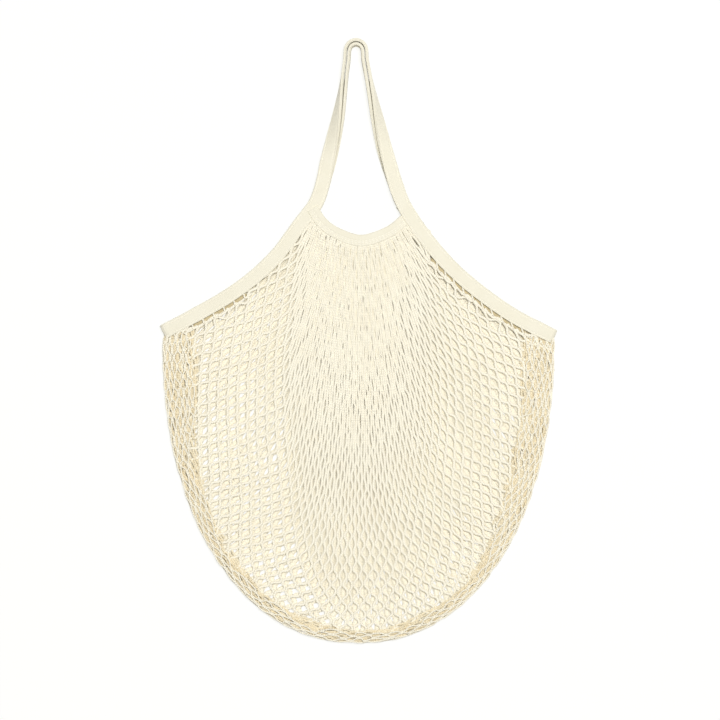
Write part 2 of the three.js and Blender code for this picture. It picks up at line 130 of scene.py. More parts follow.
def above_table(points: np.ndarray) -> np.ndarray:
    """Points with those that would sink into the table pressed flat just above it, as soft cotton lies."""
    return np.concatenate([points[..., :2], np.maximum(points[..., 2:], TABLE_GAP)], axis=-1)


def linear(colour: str) -> tuple[float, float, float, float]:
    """Turns an sRGB hex colour into linear red, green, blue and alpha."""
    values = [int(colour[i : i + 2], 16) / 255.0 for i in (1, 3, 5)]
    curved = [v / 12.92 if v <= 0.04045 else ((v + 0.055) / 1.055) ** 2.4 for v in values]
    return (*curved, 1.0)


def add_node(
    tree: bpy.types.NodeTree, kind: str, settings: dict | None = None, links: dict | None = None
) -> bpy.types.Node:
    """Adds one node with its settings and its links.

    Args:
        tree: The node tree.
        kind: Blender's name for the type of node.
        settings: Values by the name or number of an input, or by the name of a property.
        links: Sockets by the name or number of the input that they feed.

    Returns:
        The new node.
    """
    node = tree.nodes.new(kind)
    for key, value in (settings or {}).items():
        if isinstance(key, int) or key in node.inputs:
            node.inputs[key].default_value = value
        else:
            setattr(node, key, value)
    for key, socket in (links or {}).items():
        tree.links.new(socket, node.inputs[key])
    return node


def new_material(name: str) -> tuple[bpy.types.Material, bpy.types.NodeTree]:
    """A material with an empty node tree."""
    material = bpy.data.materials.new(name)
    material.use_nodes = True
    material.node_tree.nodes.clear()
    return material, material.node_tree


def grid_quads(batches: int, rows: int, columns: int) -> tuple[np.ndarray, np.ndarray, np.ndarray]:
    """The faces of tubes laid out as grids that close on themselves along their columns.

    Args:
        batches: Number of tubes.
        rows: Rings in each tube.
        columns: Points in each ring.

    Returns:
        The quads' vertex numbers, and the row and column of each of their corners, where the last
        column counts on past the seam.
    """
    row, column = np.meshgrid(np.arange(rows - 1), np.arange(columns), indexing="ij")
    row, column = row.reshape(-1, 1), column.reshape(-1, 1)
    corner_rows = row + np.array([[0, 0, 1, 1]])
    corner_columns = column + np.array([[0, 1, 1, 0]])
    ring = corner_rows * columns + corner_columns % columns
    quads = (np.arange(batches)[:, None, None] * rows * columns + ring[None]).reshape(-1, 4)
    return quads, np.tile(corner_rows, (batches, 1)), np.tile(corner_columns, (batches, 1))


@dataclass
class Piece:
    """A finished object made of closed tubes, all with the same number of rings and ring points."""

    name: str
    rings: np.ndarray  # tubes, rings, points in a ring, 3, in millimetres
    along: np.ndarray  # tubes, rings: distance along the tube
    around: np.ndarray  # points in a ring and one more: distance round the ring
    material: bpy.types.Material
    slot: str
    replaces: str

    def build(self) -> bpy.types.Object:
        """Makes the object, with a UV map in millimetres along and round each tube."""
        tubes, rings, points, _ = self.rings.shape
        quads, rows, columns = grid_quads(tubes, rings, points)
        tube = np.repeat(np.arange(tubes), (rings - 1) * points)[:, None]
        uv = np.stack([self.along[tube, rows], self.around[columns]], axis=-1).reshape(-1, 2)
        first = np.arange(tubes)[:, None] * rings * points + np.arange(points)[::-1]
        last = np.arange(tubes)[:, None] * rings * points + (rings - 1) * points + np.arange(points)
        caps = np.concatenate([first, last])
        cap_uv = np.concatenate([np.repeat(self.along[:, 0], points), np.repeat(self.along[:, -1], points)])
        cap_around = np.concatenate([np.tile(self.around[:-1][::-1], tubes), np.tile(self.around[:-1], tubes)])
        uv = np.concatenate([uv, np.stack([cap_uv, cap_around], axis=1)])
        mesh = bpy.data.meshes.new(self.name)
        self.fill(mesh, self.rings.reshape(-1, 3) * MILLIMETRE, [quads, caps])
        layer = mesh.uv_layers.new(name="millimetres")
        layer.data.foreach_set("uv", uv.ravel())
        mesh.shade_smooth()
        mesh.materials.append(self.material)
        piece = bpy.data.objects.new(self.name, mesh)
        bpy.context.scene.collection.objects.link(piece)
        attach(piece, "root")
        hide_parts(self.replaces)
        log.info("%s: %d triangles", self.name, 2 * len(quads) + len(caps) * (points - 2))
        return piece

    @staticmethod
    def fill(mesh: bpy.types.Mesh, vertices: np.ndarray, faces: list[np.ndarray]) -> None:
        """Puts vertices and faces into a mesh.

        Args:
            mesh: The empty mesh.
            vertices: Their places in metres, one a row.
            faces: Arrays of vertex numbers, each array with faces of one size.
        """
        sizes = np.concatenate([np.full(len(block), block.shape[1]) for block in faces])
        corners = np.concatenate([block.ravel() for block in faces])
        mesh.vertices.add(len(vertices))
        mesh.vertices.foreach_set("co", vertices.ravel())
        mesh.loops.add(len(corners))
        mesh.loops.foreach_set("vertex_index", corners.astype(np.int32))
        mesh.polygons.add(len(sizes))
        starts = np.concatenate([[0], np.cumsum(sizes)[:-1]])
        mesh.polygons.foreach_set("loop_start", starts.astype(np.int32))
        mesh.update(calc_edges=True)
        mesh.validate()


def slanting_relief(
    tree: bpy.types.NodeTree, repeat: float, vee: float | None, strength: float, depth: float
) -> bpy.types.Node:
    """A relief of slanting lines on a piece's UV map in millimetres, as stitches or twisted plies make.

    Its height is the sine of tau (u + v) / repeat. With a vee, v runs up and down again within that
    width, which turns the lines into rows of small Vs.

    Args:
        tree: The node tree.
        repeat: Distance between the lines along the piece, in millimetres.
        vee: Half the width of a V in millimetres, or None for straight lines.
        strength: Strength of the bump.
        depth: Its depth in millimetres.

    Returns:
        The bump node.
    """
    uv = add_node(tree, "ShaderNodeUVMap", {"uv_map": "millimetres"}).outputs["UV"]
    split = add_node(tree, "ShaderNodeSeparateXYZ", links={0: uv})
    side = split.outputs["Y"]
    if vee is not None:
        side = add_node(tree, "ShaderNodeMath", {"operation": "PINGPONG", 1: vee}, {0: side}).outputs[0]
    slanted = add_node(tree, "ShaderNodeMath", {"operation": "ADD"}, {0: split.outputs["X"], 1: side})
    turns = add_node(
        tree, "ShaderNodeMath", {"operation": "MULTIPLY", 1: math.tau / repeat}, {0: slanted.outputs[0]}
    )
    height = add_node(tree, "ShaderNodeMath", {"operation": "SINE"}, {0: turns.outputs[0]}).outputs[0]
    return add_node(
        tree, "ShaderNodeBump", {"Strength": strength, "Distance": depth * MILLIMETRE}, {"Height": height}
    )


@dataclass(frozen=True)
class KnittedCotton:
    """Undyed cotton, knitted: rows of small Vs in relief, loose fibres over them, a tone that drifts.

    Cotton is matt, so no highlight forms, and its fibres catch the light at a slant as a pale bloom.
    """

    name: str
    light: str
    deep: str
    stitch_length: float
    vee: float  # half the width of a V
    stitch_strength: float
    stitch_depth: float
    fibre_scale: float
    fibre_strength: float
    fibre_depth: float
    tone_scale: float
    tone_detail: float
    roughness: float
    sheen: float
    sheen_roughness: float
    specular: float

    def build(self) -> bpy.types.Material:
        """Builds the material on the pieces' own UV map, in millimetres."""
        material, tree = new_material(self.name)
        stitches = slanting_relief(tree, self.stitch_length, self.vee, self.stitch_strength, self.stitch_depth)
        place = add_node(tree, "ShaderNodeTexCoord").outputs["Object"]
        fibre = add_node(
            tree,
            "ShaderNodeTexNoise",
            {"Scale": self.fibre_scale, "Detail": 3.0, "Roughness": 0.7},
            {"Vector": place},
        )
        fuzz = add_node(
            tree,
            "ShaderNodeBump",
            {"Strength": self.fibre_strength, "Distance": self.fibre_depth * MILLIMETRE},
            {"Height": fibre.outputs["Fac"], "Normal": stitches.outputs["Normal"]},
        )
        drift = add_node(
            tree, "ShaderNodeTexNoise", {"Scale": self.tone_scale, "Detail": self.tone_detail}, {"Vector": place}
        )
        tone = add_node(
            tree,
            "ShaderNodeMix",
            {"data_type": "RGBA", 6: linear(self.light), 7: linear(self.deep)},
            {0: drift.outputs["Fac"]},
        )
        shader = add_node(
            tree,
            "ShaderNodeBsdfPrincipled",
            {
                "Roughness": self.roughness,
                "Sheen Weight": self.sheen,
                "Sheen Roughness": self.sheen_roughness,
                "Specular IOR Level": self.specular,
            },
            {"Base Color": tone.outputs[2], "Normal": fuzz.outputs["Normal"]},
        )
        add_node(tree, "ShaderNodeOutputMaterial", links={"Surface": shader.outputs[0]})
        return material


@dataclass(frozen=True)
class ChainKnittedYarn(KnittedCotton):
    """Carded cotton knitted into a fine chain: the softest and mattest surface of the bag, warm cream."""

    name: str = "undyed_cotton_chain_knit"
    light: str = "#FCF7E5"
    deep: str = "#F9F1DB"
    stitch_length: float = 2.4
    vee: float = 1.85
    stitch_strength: float = 0.8
    stitch_depth: float = 0.22
    fibre_scale: float = 2200.0
    fibre_strength: float = 0.35
    fibre_depth: float = 0.12
    tone_scale: float = 45.0
    tone_detail: float = 4.0
    roughness: float = 0.9
    sheen: float = 0.25
    sheen_roughness: float = 0.5
    specular: float = 0.25


@dataclass(frozen=True)
class KnittedTape(KnittedCotton):
    """Narrow warp-knitted tape, folded in two: firmer and smoother than the yarn, with a dull sheen."""

    name: str = "undyed_cotton_knitted_tape"
    light: str = "#F0EBD9"
    deep: str = "#EAE4CE"
    stitch_length: float = 1.5  # the rows of knitting across the ribs
    vee: float = 0.725  # half a rib
    stitch_strength: float = 0.6
    stitch_depth: float = 0.16
    fibre_scale: float = 1900.0
    fibre_strength: float = 0.3
    fibre_depth: float = 0.1
    tone_scale: float = 60.0
    tone_detail: float = 5.0
    roughness: float = 0.82
    sheen: float = 0.3
    sheen_roughness: float = 0.45
    specular: float = 0.3


@dataclass(frozen=True)
class SewingThread:
    """Twisted cotton sewing thread, mercerised: smoother and a little glossier than the tape."""

    name: str = "mercerised_cotton_thread"
    colour: str = "#FBF7EA"
    twist_length: float = 0.9
    twist_depth: float = 0.06

    def build(self) -> bpy.types.Material:
        """Builds the material, with the twist of the plies as a slanting relief."""
        material, tree = new_material(self.name)
        relief = slanting_relief(tree, self.twist_length, None, 0.6, self.twist_depth)
        shader = add_node(
            tree,
            "ShaderNodeBsdfPrincipled",
            {"Base Color": linear(self.colour), "Roughness": 0.6, "Sheen Weight": 0.2, "Specular IOR Level": 0.4},
            {"Normal": relief.outputs["Normal"]},
        )
        add_node(tree, "ShaderNodeOutputMaterial", links={"Surface": shader.outputs[0]})
        return material


# ---- the bag's own lines -------------------------------------------------------------------------


class Layer(Enum):
    """The two layers of the flat bag, with the side of the fold's level on which each lies."""

    FRONT = 1
    BACK = -1

    @property
    def word(self) -> str:
        """The layer's name in lower case."""
        return self.name.lower()


@dataclass
class BagLines:
    """The lines and levels that tapes and net share, as in the frame."""

    tape_thickness: float = 3.0
    layer_spacing: float = 8.4
    half_width: float = 196.6
    depth: float = 302.4
    roundness: float = 2.15
    shoulder_left: tuple = (
        (-41.5, 141), (-58.8, 117), (-81, 87), (-102.6, 66), (-130.5, 45.4), (-166, 25), (-191.8, 11.4),
    )
    shoulder_right: tuple = (
        (43.3, 141), (57.5, 117), (79, 89), (100.4, 66.8), (126, 45.8), (156, 25.2), (192, 6.6),
    )
    leg_left: tuple = ((-30, 186), (-20.2, 236), (-13.8, 281))
    leg_right: tuple = ((29, 186), (18, 236), (8.8, 281))
    handle_top: tuple = (-2.5, 291.0)
    handle_bend: float = 10.4
    selvedge: float = 11.4  # distance of the net's selvedge from the middle of the shoulder tape
    selvedges: tuple = ((-166.0, -112.0), (72.0, 168.0))  # where it stands clear of the tape
    mouth: tuple = ((-46, 133), (-36.5, 119), (-23.5, 109.3), (2, 101), (27.5, 108.3), (39.5, 116), (49, 125))

    @property
    def back_level(self) -> float:
        """Height of the back tape's middle."""
        return self.tape_thickness / 2

    @property
    def front_level(self) -> float:
        """Height of the front tape's middle."""
        return self.back_level + self.layer_spacing

    @property
    def fold_level(self) -> float:
        """Height of the fold, half way between the two layers."""
        return (self.front_level + self.back_level) / 2

    def level(self, layer: Layer) -> float:
        """Height of a layer's tapes where they lie flat."""
        return self.front_level if layer is Layer.FRONT else self.back_level

    def tape_route(self) -> np.ndarray:
        """The tape's line seen from above: left corner, left leg, top of the handle, right leg, corner."""
        turn = np.radians(np.arange(165, 14, -30))
        bend = np.array(self.handle_top) + self.handle_bend * np.stack([np.cos(turn), np.sin(turn)], axis=1)
        parts = [self.shoulder_left[::-1], self.leg_left, bend, self.leg_right[::-1], self.shoulder_right]
        return curve_through(np.concatenate(parts), 40)

    def nearness(self, points: np.ndarray) -> np.ndarray:
        """How near points are to the folded outline: 0 in the middle of the mouth's level, 1 on it.

        The outline is a superellipse below the corners, and its sides go straight up above them.
        """
        across = (np.abs(points[..., 0]) / self.half_width) ** self.roundness
        down = (np.maximum(-points[..., 1], 0.0) / self.depth) ** self.roundness
        return (across + down) ** (1.0 / self.roundness)

    def top_edge(self) -> np.ndarray:
        """The line that the net hangs from: the middles of the left shoulder tape, mouth rim and right one."""
        left = curve_through(np.array(self.shoulder_left[::-1]), 12)
        right = curve_through(np.array(self.shoulder_right), 12)
        rim = curve_through(np.array(self.mouth), 12)
        inner = (rim[:, 0] > left[-1, 0]) & (rim[:, 0] < right[0, 0])
        return np.concatenate([[[-205.0, 4.0]], left, rim[inner], right, [[205.0, 0.0]]])

    def beside_top(self, points: np.ndarray) -> tuple[np.ndarray, np.ndarray]:
        """How far points, seen from above, are from the top edge, and whether they lie under it."""
        edge = self.top_edge()
        gap = np.linalg.norm(points[:, :, None] - edge, axis=3).min(axis=2)
        return gap, points[..., 1] < np.interp(points[..., 0], *edge.T)

    def selvedge_line(self, start: float, end: float, distance: float) -> np.ndarray:
        """A line beside the shoulder tape, at a distance below its middle, between two places across the bag."""
        line = offset_curve(self.top_edge(), -distance)
        line = line[(line[:, 0] > start - 15.0) & (line[:, 0] < end + 15.0)]
        inside = np.linspace(0.0, lengths_along(line)[-1], 200)
        line = points_along(line, inside)
        return line[(line[:, 0] > start) & (line[:, 0] < end)]

    def outline(self) -> np.ndarray:
        """The folded edge from the left corner round the bottom to the right corner."""
        turn = np.linspace(0.0, np.pi, 4001)
        power = 2.0 / self.roundness
        across = -np.sign(np.cos(turn)) * np.abs(np.cos(turn)) ** power
        return np.stack([across * self.half_width, -np.abs(np.sin(turn)) ** power * self.depth], axis=1)


# ---- tapes ---------------------------------------------------------------------------------------


@dataclass
class Stations:
    """Places along a tape: its middle points, and the directions across it and out of its face."""

    points: np.ndarray
    across: np.ndarray
    normals: np.ndarray

    def along(self) -> np.ndarray:
        """Distance along the tape's middle."""
        return lengths_along(self.points)


@dataclass
class FoldedTape:
    """A knitted tape folded in two over the edge of the net, with its open side towards the net.

    The section is worked out in its own two directions: across the tape, where the fold is at the
    positive end, and out of its face.
    """

    width: float
    thickness: float
    stitch_lines: tuple  # distances of the sewn lines from the tape's open side
    rib_pitch: float = 1.45
    rib_depth: float = 0.16
    slot_depth: float = 0.3
    slot_gap: float = 0.12
    swelling: float = 0.2  # how much thicker it is where it stands on edge, free of the net's pull
    groove_depth: float = 0.32
    groove_width: float = 0.75
    stitch_pitch: float = 3.4
    stitch_length: float = 2.5
    thread_radius: float = 0.22
    sewn_while_flat: float = 0.9
    puckering: float = 0.12
    seed: int = 7

    def face_relief(self, across: np.ndarray) -> np.ndarray:
        """Height lost on the face: rounded ribs with narrow furrows, and a soft groove at each sewn line."""
        ribs = self.rib_depth * (1.0 - np.abs(np.sin(np.pi * (across + self.width / 2) / self.rib_pitch)))
        grooves = sum(
            self.groove_depth * np.exp(-(((across + self.width / 2 - line) / self.groove_width) ** 2))
            for line in self.stitch_lines
        )
        return ribs + grooves

    def section(self) -> np.ndarray:
        """The closed section, from the upper lip round the slot, lower face and fold to the upper face.

        It runs anticlockwise, as seen against the tape's heading, so that the tape's faces look out.

        Returns:
            Points of across and outwards, one a row.
        """
        half, lift = self.width / 2, self.thickness / 2
        leaf = (lift - self.slot_gap / 2) / 2
        face = np.linspace(-half + leaf, half - lift, 44)
        crown = 0.18 * (1.0 - (face / half) ** 2) - 0.18
        top = np.stack([face, lift + crown - self.face_relief(face)], axis=1)
        turn = np.radians(np.linspace(75, -75, 7))[:, None]
        fold = np.concatenate([half - lift + lift * np.cos(turn), lift * np.sin(turn)], axis=1)
        bottom = top[::-1] * [1.0, -1.0]
        lip = np.radians(np.linspace(120, 240, 3))[:, None]
        lip_middle = np.array([[-half + leaf, leaf + self.slot_gap / 2]])
        upper_lip = lip_middle + leaf * np.concatenate([np.cos(lip), np.sin(lip)], axis=1)
        slot_end = -half + self.slot_depth
        slot = np.array([[slot_end, self.slot_gap / 2], [slot_end, -self.slot_gap / 2]])
        lower_lip = upper_lip[::-1] * [1.0, -1.0]
        return np.concatenate([upper_lip, slot, lower_lip[::-1], bottom[::-1], fold[::-1], top[::-1]])

    def body(self, stations: Stations) -> tuple[np.ndarray, np.ndarray, np.ndarray]:
        """The tape's surface: its section carried along the stations, a little drawn in between stitches.

        Args:
            stations: The tape's places.

        Returns:
            The rings of one tube, the distances along it and the distances round it.
        """
        section = self.section()
        along = stations.along()
        rng = np.random.default_rng(self.seed)
        waves = rng.uniform(0.0, math.tau, 6)
        lengths = np.array([11.0, 17.0, 29.0, 41.0, 67.0, 97.0])
        uneven = np.sin(along[:, None] * math.tau / lengths + waves).mean(axis=1)
        pucker = np.cos(along * math.tau / self.stitch_pitch)
        wide = section[None, :, 0] * (1.0 + 0.035 * uneven[:, None])
        near_edge = smoothstep(0.55 * self.width / 2, self.width / 2, np.abs(section[:, 0]))
        wide = wide + np.sign(section[:, 0]) * near_edge * self.puckering * pucker[:, None]
        thick = section[None, :, 1] * (1.0 + 0.05 * uneven[::-1, None] - 0.03 * pucker[:, None])
        thick = thick * (1.0 + self.swelling * (1.0 - np.abs(stations.normals[:, 2:])))
        rings = (
            stations.points[:, None, :]
            + wide[..., None] * stations.across[:, None, :]
            + thick[..., None] * stations.normals[:, None, :]
        )
        around = lengths_along(np.concatenate([section, section[:1]]))
        return above_table(rings)[None], along[None], around

    def stitches(self, stations: Stations) -> tuple[np.ndarray, np.ndarray, np.ndarray]:
        """The sewn lines on both faces: short thread arches that dive into the tape at both ends.

        Args:
            stations: The tape's places.

        Returns:
            The rings of all stitches, the distances along and round them.
        """
        along = stations.along()
        starts = np.arange(self.stitch_pitch, along[-1] - self.stitch_pitch, self.stitch_pitch)
        # Up the handle the two leaves are knitted in one, and nothing is sewn.
        starts = starts[np.interp(starts, along, np.abs(stations.normals[:, 2])) > self.sewn_while_flat]
        share = np.linspace(0.0, 1.0, 6)
        reach = starts[:, None] + share * self.stitch_length
        frames = [np.stack([np.interp(reach, along, axis) for axis in field_.T], axis=-1)
                  for field_ in (stations.points, stations.across, stations.normals)]
        middle, across, normal = frames[0], unit(frames[1]), unit(frames[2])
        arch = np.sin(np.pi * share) ** 0.6
        turn = np.radians(np.arange(0, 360, 60))
        sets = []
        for face in (1, -1):
            for line in self.stitch_lines:
                side = line - self.width / 2
                floor = self.thickness / 2 - self.face_relief(np.array(side))
                lift = (floor + self.thread_radius * (1.5 * arch - 1.0))[None, :, None]
                core = middle + side * across + face * lift * normal
                ring = np.cos(turn)[:, None] * across[..., None, :] + np.sin(turn)[:, None] * normal[..., None, :]
                sets.append(core[..., None, :] + self.thread_radius * ring)
        rings = above_table(np.concatenate(sets))
        around = np.linspace(0.0, math.tau * self.thread_radius, len(turn) + 1)
        return rings, np.tile(share * self.stitch_length, (len(rings), 1)), around

    def make(
        self, node: str, stations: Stations, tape: bpy.types.Material, thread: bpy.types.Material
    ) -> None:
        """Makes a length of the tape and its sewing, over the solid of one node.

        Args:
            node: The node that both replace.
            stations: The tape's places.
            tape: Material of the tape.
            thread: Material of the sewing thread.
        """
        Piece(f"{node}_tape", *self.body(stations), tape, "tape_cotton", node).build()
        Piece(f"{node}_stitches", *self.stitches(stations), thread, "tape_cotton", node).build()


@dataclass
class Strap:
    """A handle with its two shoulder bindings, one long folded tape from corner to corner."""

    lines: BagLines
    layer: Layer
    tape: FoldedTape = field(
        default_factory=lambda: FoldedTape(width=14.5, thickness=3.0, stitch_lines=(1.9, 12.2))
    )
    station_step: float = 1.6
    flat_below: float = 150.0
    on_edge_above: float = 275.0
    nested_above: float = 215.0
    nest: float = 4.0
    curl_radius: float = 3.0
    tip_gap: float = 0.35

    def stations(self) -> Stations:
        """The strap's places.

        Up the legs the tape turns from flat to on edge, its outer edge going down, and the back
        handle slips inside the front one. At the corners it curls round the side of the bag.
        """
        route = self.lines.tape_route()
        length = lengths_along(route)[-1]
        level = points_along(route, np.linspace(0.0, length, int(length / self.station_step)))
        middle = np.concatenate([level, np.zeros((len(level), 1))], axis=1)
        heading = unit(np.gradient(middle, axis=0))
        up = np.array([0.0, 0.0, 1.0])
        tilt = (np.pi / 2) * smoothstep(self.flat_below, self.on_edge_above, middle[:, 1])[:, None]
        across = left_of(heading) * np.cos(tilt) - up * np.sin(tilt)
        normal = np.cross(heading, across)
        nested = smoothstep(self.flat_below, self.nested_above, middle[:, 1])[:, None]
        spacing = self.lines.layer_spacing + (self.nest - self.lines.layer_spacing) * nested
        height = self.tape.width / 2 * np.sin(tilt) + self.tape.thickness / 2 * np.cos(tilt)
        points = middle + up * (height + spacing * np.cos(tilt))
        if self.layer is Layer.BACK:
            points = points - normal * spacing
        flat = Stations(points, across, normal)
        start, end = self.corner(flat, 0, -heading[0]), self.corner(flat, -1, heading[-1])
        return Stations(
            np.concatenate([start.points[::-1], points, end.points]),
            np.concatenate([start.across[::-1], across, end.across]),
            np.concatenate([-start.normals[::-1], normal, end.normals]),
        )

    def corner(self, flat: Stations, index: int, away: np.ndarray) -> Stations:
        """The tape's end, curled round the side of the bag towards the other layer.

        Args:
            flat: The stations of the tape's level stretch.
            index: Which of them is the last before the corner.
            away: The level direction out of the bag there.

        Returns:
            The stations past that one, with normals as if the tape ran the way that away points.
        """
        up = np.array([0.0, 0.0, 1.0])
        point, side = flat.points[index], self.layer.value
        drop = abs(point[2] - self.lines.fold_level) - self.tip_gap / 2
        turn = np.radians(np.array([22.5, 45.0, 67.5, 90.0, 90.0]))[:, None]
        fall = self.curl_radius * (1.0 - np.cos(turn))
        fall[-1] = drop
        points = point + away * self.curl_radius * np.sin(turn) - side * up * fall
        heading = away * np.cos(turn) - side * up * np.sin(turn)
        across = np.tile(flat.across[index], (len(turn), 1))
        return Stations(points, across, np.cross(heading, across))

    def build(self, tape: bpy.types.Material, thread: bpy.types.Material) -> None:
        """Makes the strap and its sewing, of the two materials given."""
        self.tape.make(f"{self.layer.word}_strap", self.stations(), tape, thread)


@dataclass
class MouthRim:
    """The short folded tape that gathers the net at the mouth, from shoulder to shoulder."""

    lines: BagLines
    layer: Layer
    tape: FoldedTape = field(
        default_factory=lambda: FoldedTape(width=11.5, thickness=3.0, stitch_lines=(1.7, 3.4, 5.1))
    )
    station_step: float = 1.2
    overlap_length: float = 12.0
    overlap_lift: float = 1.1
    off_table: float = 0.3

    def stations(self) -> Stations:
        """The rim's places: level, with its left end on the strap and its right end beneath the strap."""
        curve = curve_through(np.array(self.lines.mouth), 30)
        length = lengths_along(curve)[-1]
        distance = np.linspace(0.0, length, int(length / self.station_step))
        level = points_along(curve, distance)
        over = 1.0 - smoothstep(0.0, self.overlap_length, distance)
        under = smoothstep(length - self.overlap_length, length, distance)
        height = self.lines.level(self.layer) + self.overlap_lift * self.layer.value * (over - under)
        height = np.maximum(height, self.tape.thickness / 2 + self.off_table)
        points = np.concatenate([level, height[:, None]], axis=1)
        heading = unit(np.gradient(points, axis=0))
        across = left_of(heading)
        return Stations(points, across, np.cross(heading, across))

    def build(self, tape: bpy.types.Material, thread: bpy.types.Material) -> None:
        """Makes the rim and its sewing, of the two materials given."""
        self.tape.make(f"{self.layer.word}_mouth_rim", self.stations(), tape, thread)


# ---- net -----------------------------------------------------------------------------------------


def sweep(middles: np.ndarray, normals: np.ndarray, half_wide: np.ndarray, half_high: float) -> tuple:
    """Flat round tubes along middle lines, with small end rings.

    Args:
        middles: Points by tube and ring.
        normals: The way that each ring's flat side faces.
        half_wide: Half the tubes' width by tube and ring.
        half_high: Half their height.

    Returns:
        The rings by tube, ring and point, and the distances along the tubes.
    """
    heading = unit(np.gradient(middles, axis=1))
    across = unit(np.cross(normals, heading))
    out = np.cross(heading, across)
    turn = np.radians(np.arange(0, 360, 60) + 30)
    size = np.ones((middles.shape[1], 1, 1))
    size[[0, -1]] = 0.5
    rings = (
        middles[:, :, None]
        + size * half_wide[:, :, None, None] * np.cos(turn)[:, None] * across[:, :, None]
        + size * half_high * np.sin(turn)[:, None] * out[:, :, None]
    )
    rings = above_table(rings)
    steps = np.linalg.norm(np.diff(middles, axis=1), axis=2)
    return rings, np.concatenate([np.zeros((len(middles), 1)), np.cumsum(steps, axis=1)], axis=1)


@dataclass
class NetSheet:
    """Joins of a net laid out on a sheet, with the strand lengths between them.

    The joins are numbered by the two families of lines that cross in them: one strand length leads
    from join (i, j) to (i + 1, j), another to (i, j + 1). In a join two strands lie side by side for
    a short way. A length leaves its upper join from one side and enters its lower join on the other.
    """

    points: np.ndarray  # i, j, 3, in millimetres
    normals: np.ndarray  # the way out of the sheet's face at each join
    keep: np.ndarray  # which joins there are
    half_wide: np.ndarray  # half the strands' width at each join
    half_high: float = 0.95
    join_length: float = 3.0
    lap: float = 0.7  # how far a length runs on into the next one
    slack: float = 0.3  # how far the lengths bow to a side, by chance

    def ways(self) -> tuple[np.ndarray, np.ndarray]:
        """The way that the strands run in each join, and the way across it, to the first family's side."""
        first, second = np.gradient(self.points, axis=0), np.gradient(self.points, axis=1)
        down = unit(unit(first) + unit(second))
        return down, unit(np.cross(self.normals, down))

    def lengths(self, family: int, rng: np.random.Generator) -> tuple[np.ndarray, np.ndarray, np.ndarray]:
        """The middle lines of one family's strand lengths.

        Each is a short straight run in its upper join, a cubic Hermite curve, and a run in its lower join.

        Args:
            family: 0 for the lengths that lead to (i + 1, j), 1 for those to (i, j + 1).
            rng: The source of chance.

        Returns:
            Points by length and step, and the sheet's normal and half the strand's width at each.
        """
        down, side = self.ways()
        upper = (slice(None, -1), slice(None)) if family == 0 else (slice(None), slice(None, -1))
        lower = (slice(1, None), slice(None)) if family == 0 else (slice(None), slice(1, None))
        kept = self.keep[upper] & self.keep[lower]
        apart = 0.85 if family == 0 else -0.85
        wide_above = self.half_wide[upper][kept][:, None]
        wide_below = self.half_wide[lower][kept][:, None]
        leaving, entering = down[upper][kept], down[lower][kept]
        start = self.points[upper][kept] + apart * wide_above * side[upper][kept]
        end = self.points[lower][kept] - apart * wide_below * side[lower][kept]
        leave = start + leaving * self.join_length / 2
        enter = end - entering * self.join_length / 2
        pull = 0.8 * np.linalg.norm(enter - leave, axis=1)[:, None, None]
        t = np.array([0.25, 0.5, 0.75])[None, :, None]
        middle = (
            (2 * t**3 - 3 * t**2 + 1) * leave[:, None]
            + (3 * t**2 - 2 * t**3) * enter[:, None]
            + (t**3 - 2 * t**2 + t) * pull * leaving[:, None]
            + (t**3 - t**2) * pull * entering[:, None]
        )
        sideways = (side[upper] + side[lower])[kept][:, None] / 2
        bow = rng.normal(0.0, self.slack, len(start))[:, None, None] * sideways
        middle = middle + bow * np.array([0.7, 1.0, 0.7])[:, None]
        above = np.stack([start - leaving * self.lap, start, leave], axis=1)
        below = np.stack([enter, end, end + entering * self.lap], axis=1)
        points = np.concatenate([above, middle, below], axis=1)
        share = np.array([0.0, 0.0, 0.0, 0.25, 0.5, 0.75, 1.0, 1.0, 1.0])[None, :, None]
        facing_above, facing_below = self.normals[upper][kept][:, None], self.normals[lower][kept][:, None]
        normals = unit(facing_above * (1 - share) + facing_below * share)
        wide = wide_above * (1 - share[..., 0]) + wide_below * share[..., 0]
        return points, normals, wide

    def tubes(self, rng: np.random.Generator) -> tuple[np.ndarray, np.ndarray]:
        """The surfaces of all strand lengths, as rings, and the distance along each."""
        families = [self.lengths(family, rng) for family in (0, 1)]
        points, normals, wide = (np.concatenate(parts) for parts in zip(*families))
        return sweep(points, normals, wide, self.half_high)


